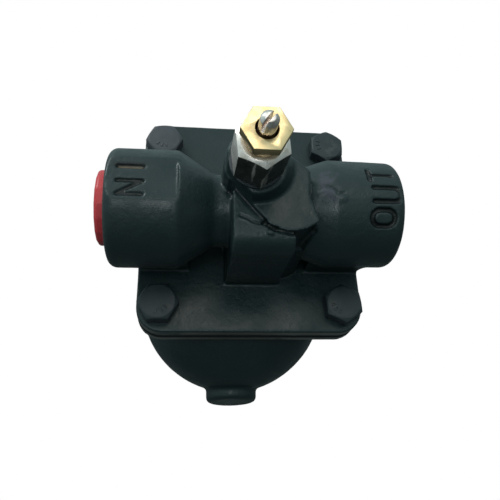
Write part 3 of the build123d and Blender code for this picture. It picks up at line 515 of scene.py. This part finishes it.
def cast_form(node, name, voxel, rounds, softness):
    """A casting: the CAD form remeshed and its corners rounded."""
    piece = copy_of(node, name)
    remesh = piece.modifiers.new("remesh", "REMESH")
    remesh.mode = "VOXEL"
    remesh.voxel_size = voxel
    bake_modifiers(piece)
    soft = piece.vertex_groups.new(name="soft")
    for vertex in piece.data.vertices:
        soft.add([vertex.index], softness(vertex.co), "REPLACE")
    smooth = piece.modifiers.new("round", "SMOOTH")
    smooth.factor = 0.5
    smooth.iterations = rounds
    smooth.vertex_group = "soft"
    bake_modifiers(piece)
    return piece


def swell_skin(piece, swell):
    """Makes a casting's skin slightly uneven."""
    normals = [n.vector.copy() for n in piece.data.vertex_normals]
    for vertex, normal in zip(piece.data.vertices, normals):
        point = vertex.co
        wave = sum(noise.noise(point * scale) * share for scale, share in SKIN_WAVES)
        vertex.co = point + normal * wave * swell


# ---------------------------------------------------------------- castings

PAINT = casting_paint()

# lines on the cover's front skin, (x, z) in millimetres
HUB_SEAM = ((-12.0, 0.2), (-8.6, -4.0), (-3.0, -10.5), (1.8, -15.8))
HUB_ARC = ((1.8, -15.8), (6.5, -19.0), (12.5, -20.2), (18.5, -18.6), (23.0, -15.5))
WEB_CRACK = (
    (-8.0, -13.2),
    (-5.4, -14.2),
    (-2.6, -15.8),
    (-0.4, -16.4),
    (1.2, -16.2),
    (3.4, -18.0),
    (6.4, -18.8),
)
WEB_LUMP = ((3.0, -19.9), (4.4, -20.3))
SHOULDER_LIP = ((25.0, 0.2), (27.5, 0.8), (29.5, -0.6), (31.5, -3.4), (34.0, -3.0))
WEB_SKIN_Y = (-22.5, -10.0)
LIP_SKIN_Y = (-26.0, -18.0)


def lowered(line, drop):
    """A line moved down."""
    return tuple((x, z - drop) for x, z in line)


# line, width, height (below nought it cuts in) and range along Y, in millimetres
COVER_FLAWS = (
    (HUB_SEAM, 1.2, -1.1, (-23.6, -10.0)),
    (HUB_ARC, 1.5, -1.4, (-21.0, -2.0)),
    (WEB_CRACK, 0.9, -0.7, WEB_SKIN_Y),
    (lowered(WEB_CRACK, 1.1), 0.9, 0.3, WEB_SKIN_Y),
    (WEB_LUMP, 1.1, 0.8, WEB_SKIN_Y),
    (SHOULDER_LIP, 0.8, -0.5, LIP_SKIN_Y),
    (lowered(SHOULDER_LIP, 2.4), 2.2, 0.35, LIP_SKIN_Y),
)

# places on the cover that keep more of their edges than the rest, in metres
HUB_X = (-0.013, 0.024)
HUB_FRONT_Y = -0.018
HUB_TOP_Z = 0.004
LETTERS_X = (0.042, 0.0585)
LETTERS_FRONT_Y = 0.004
LETTERS_HALF_Z = 0.024
PORT_RIM_X = 0.0595


def body_softness(point):
    """How much a point of the cover casting is rounded: less at the letters, port rims and seam."""
    along = abs(point.x)
    if HUB_X[0] < point.x < HUB_X[1] and point.y < HUB_FRONT_Y and point.z < HUB_TOP_Z:
        return 0.3
    if LETTERS_X[0] < along < LETTERS_X[1] and point.y < LETTERS_FRONT_Y and abs(point.z) < LETTERS_HALF_Z:
        return 0.05
    return 0.3 if along > PORT_RIM_X else 0.8


def bowl_softness(point):
    """The chamber is rounded fully everywhere."""
    return 1.0


def make_casting(node, name, voxel, rounds, softness, swell, flaws=()):
    """A painted casting with its uneven skin and its flaws, in place of a CAD node."""
    casting = cast_form(node, name, voxel * MM, rounds, softness)
    swell_skin(casting, swell * MM)
    for line, width, height, y_range in flaws:
        sculpt_front(casting, line, width, height, y_range)
    dress(casting, PAINT)
    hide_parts(node)
    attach(casting, "casing")


make_casting("body", "cover_casting", 0.56, 5, body_softness, 0.10, COVER_FLAWS)
make_casting("bowl", "chamber_casting", 0.85, 6, bowl_softness, 0.12)

# ---------------------------------------------------------------- materials on CAD nodes

BRASS = brass()
STEEL = stainless("stainless_turned", (60.0, 2600.0, 60.0))
SHEET = stainless("stainless_sheet", (900.0, 60.0, 60.0))
GRAPHITE = graphite()
RED = red_plastic()
BOLT = bolt_paint()

SLOT_LOOKS = {
    "bolt_paint": BOLT,
    "gasket": GRAPHITE,
    "stainless": STEEL,
    "spring_steel": SHEET,
    "sheet_steel": SHEET,
    "packing": GRAPHITE,
    "brass": BRASS,
    "red_plastic": RED,
    "casting_paint": PAINT,
}


def dress_nodes():
    """Gives each CAD node the look of its material slot."""
    for entry in frame["record"]["subparts"]:
        node = NODES[entry["node"]]
        node.data.materials.clear()
        node.data.materials.append(SLOT_LOOKS[entry["material_slot"]])


dress_nodes()

# ---------------------------------------------------------------- bolts, plugs and release valve

BOLT_HEAD_R = 9.0
TICKS = 3
TICK_IN_R = 3.4
TICK_OUT_R = 5.4
TICK_DEPTH = 0.56
TICK_WIDTH = 0.9
FIRST_TICK = 35
TURN_PER_BOLT = 37
TICK_STEP = 30


def bolt_centres():
    """About the centre of each bolt head's face, read from the bolts' box."""
    low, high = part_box("cover_bolts")
    head_r = BOLT_HEAD_R * MM
    xs = (low[0] + head_r, high[0] - head_r)
    zs = (low[2] + head_r, high[2] - head_r)
    return [Vector((x, low[1], z)) for x in xs for z in zs]


def make_tick(bm, centre, angle):
    """Small raised bar on a bolt face, pointing at its middle."""
    mid = (TICK_IN_R + TICK_OUT_R) / 2 * MM
    size = Matrix.Diagonal(((TICK_OUT_R - TICK_IN_R) * MM, TICK_DEPTH * MM, TICK_WIDTH * MM, 1.0))
    turn = Matrix.Rotation(angle, 4, "Y")
    place = Matrix.Translation(centre) @ turn @ Matrix.Translation((mid, 0, 0)) @ size
    bmesh.ops.create_cube(bm, size=1.0, matrix=place)


def make_bolts():
    """The four bolts, each with a few plain raised ticks on its head."""
    bevelled("cover_bolts", "bolt_heads", 0.30 * MM, BOLT)

    def ticks(bm):
        for turn, centre in enumerate(bolt_centres()):
            for k in range(TICKS):
                make_tick(bm, centre, math.radians(FIRST_TICK + TURN_PER_BOLT * turn + TICK_STEP * k))

    marks = new_piece("bolt_ticks", ticks)
    bevel = marks.modifiers.new("bevel", "BEVEL")
    bevel.width = 0.16 * MM
    bevel.segments = 2
    bake_modifiers(marks)
    dress(marks, BOLT, smooth_angle=50)
    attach(marks, "casing")


make_bolts()
bevelled("release_washer", "valve_washer", 0.15 * MM, BOLT)
bevelled("release_body", "valve_hexagon", 0.25 * MM, overpainted_stainless())
bevelled("gland_nut", "packing_nut", 0.35 * MM, BRASS)
bevelled("release_spindle", "valve_spindle", 0.25 * MM, STEEL)
bevelled("inlet_plug", "inlet_cap_moulding", 0.5 * MM, RED, crease=12.0)
bevelled("outlet_plug", "outlet_cap_moulding", 0.4 * MM, RED, crease=12.0)
bevelled("valve_bracket", "bracket_pressing", 0.2 * MM, SHEET)
bevelled("main_valve_seat", "valve_seat_turning", 0.2 * MM, STEEL)
bevelled("float_lever", "lever_pressing", 0.2 * MM, SHEET)

# ---------------------------------------------------------------- floor, light and camera

CAMERA_PLACE = (-0.02827, -0.20395, -0.11477)
CAMERA_FORWARD = (0.1167, 0.8975, 0.4252)
CAMERA_RIGHT = (0.99295, -0.1143, -0.0313)
LENS_MM = 39.1
SENSOR_MM = 36.0

WHITE = (1.0, 1.0, 1.0, 1.0)
SKY_TINT = (0.74, 0.98, 1.0, 1.0)
SKY_LEAN = (-0.25, -0.66, 0.70)
SKY_FROM = -0.5
SKY_TO = 1.0
SKY_LOW = 0.10
SKY_HIGH = 0.66

FLOOR_Z = -0.135
FLOOR_HALF = 1.5
FLOOR_SHADES = ((0.3, (0.93, 0.74, 0.71)), (0.7, (0.97, 0.77, 0.74)))

COOL = (0.95, 1.0, 1.0)
WARM = (1.0, 0.93, 0.84)
# name, place, target, size, power in watts, colour and spread in degrees
LIGHTS = (
    ("key", (-0.45, -0.40, 0.55), (0, 0, 0), (0.20, 0.20), 1.7, COOL, 180.0),
    ("valve_light", (0.08, -0.80, 0.24), (0, -0.06, 0), (0.22, 0.22), 0.55, WARM, 180.0),
    ("low_front", (-0.06, -0.36, -0.11), (0, -0.03, 0), (0.14, 0.10), 0.022, COOL, 60.0),
)


def make_camera():
    """Camera below and in front of the port side, slightly rolled."""
    data = bpy.data.cameras.new("camera")
    data.sensor_width = SENSOR_MM
    data.lens = LENS_MM
    data.clip_start = 0.01
    data.clip_end = 20.0
    camera = bpy.data.objects.new("camera", data)
    bpy.context.scene.collection.objects.link(camera)
    camera.location = CAMERA_PLACE
    forward = Vector(CAMERA_FORWARD).normalized()
    up = Vector(CAMERA_RIGHT).cross(forward).normalized()
    right = forward.cross(up)
    camera.rotation_mode = "QUATERNION"
    camera.rotation_quaternion = Matrix((right, up, -forward)).transposed().to_quaternion()
    bpy.context.scene.camera = camera


def area_light(name, place, target, size, power, colour, spread):
    """A soft rectangular light aimed at a target."""
    data = bpy.data.lights.new(name, "AREA")
    data.spread = math.radians(spread)
    data.shape = "RECTANGLE"
    data.size, data.size_y = size
    data.energy = power
    data.color = colour
    light = bpy.data.objects.new(name, data)
    bpy.context.scene.collection.objects.link(light)
    light.location = place
    light.rotation_mode = "QUATERNION"
    light.rotation_quaternion = (Vector(target) - Vector(place)).to_track_quat("-Z", "Y")


def make_world():
    """Soft surroundings: bright above and to the front left, dark below; white behind the object."""
    world = bpy.data.worlds.new("world")
    world.use_nodes = True
    nodes, links = world.node_tree.nodes, world.node_tree.links
    background = nodes["Background"]
    to_camera = nodes.new("ShaderNodeLightPath").outputs["Is Camera Ray"]
    tint = nodes.new("ShaderNodeMix")
    tint.data_type = "RGBA"
    for socket in tint.inputs:
        if socket.type == "RGBA":
            socket.default_value = SKY_TINT if socket.name == "A" else WHITE
    links.new(to_camera, tint.inputs["Factor"])
    links.new(next(o for o in tint.outputs if o.type == "RGBA"), background.inputs["Color"])
    direction = nodes.new("ShaderNodeTexCoord").outputs["Generated"]
    lean = nodes.new("ShaderNodeVectorMath")
    lean.operation = "DOT_PRODUCT"
    lean.inputs[1].default_value = Vector(SKY_LEAN).normalized()
    links.new(direction, lean.inputs[0])
    glow = nodes.new("ShaderNodeMapRange")
    glow.interpolation_type = "SMOOTHSTEP"
    limits = {"From Min": SKY_FROM, "From Max": SKY_TO, "To Min": SKY_LOW, "To Max": SKY_HIGH}
    for key, value in limits.items():
        glow.inputs[key].default_value = value
    links.new(lean.outputs["Value"], glow.inputs["Value"])
    pick = nodes.new("ShaderNodeMix")
    pick.inputs["B"].default_value = 1.0
    links.new(to_camera, pick.inputs["Factor"])
    links.new(glow.outputs["Result"], pick.inputs["A"])
    links.new(pick.outputs["Result"], background.inputs["Strength"])
    bpy.context.scene.world = world


def make_floor():
    """Pale floor below the hanging part, which throws no light back up at it."""

    def grid(bm):
        bmesh.ops.create_grid(bm, x_segments=1, y_segments=1, size=FLOOR_HALF)

    floor = new_piece("floor", grid)
    floor.location = (0, 0, FLOOR_Z)
    floor.visible_diffuse = False
    floor.visible_glossy = False
    g = Graph("floor")
    floor.data.materials.append(g.finish(g.ramp(g.noise(3.0), *FLOOR_SHADES), 0.7))


make_camera()
make_world()
make_floor()
for light in LIGHTS:
    area_light(*light)
bpy.context.scene.view_settings.view_transform = "Standard"
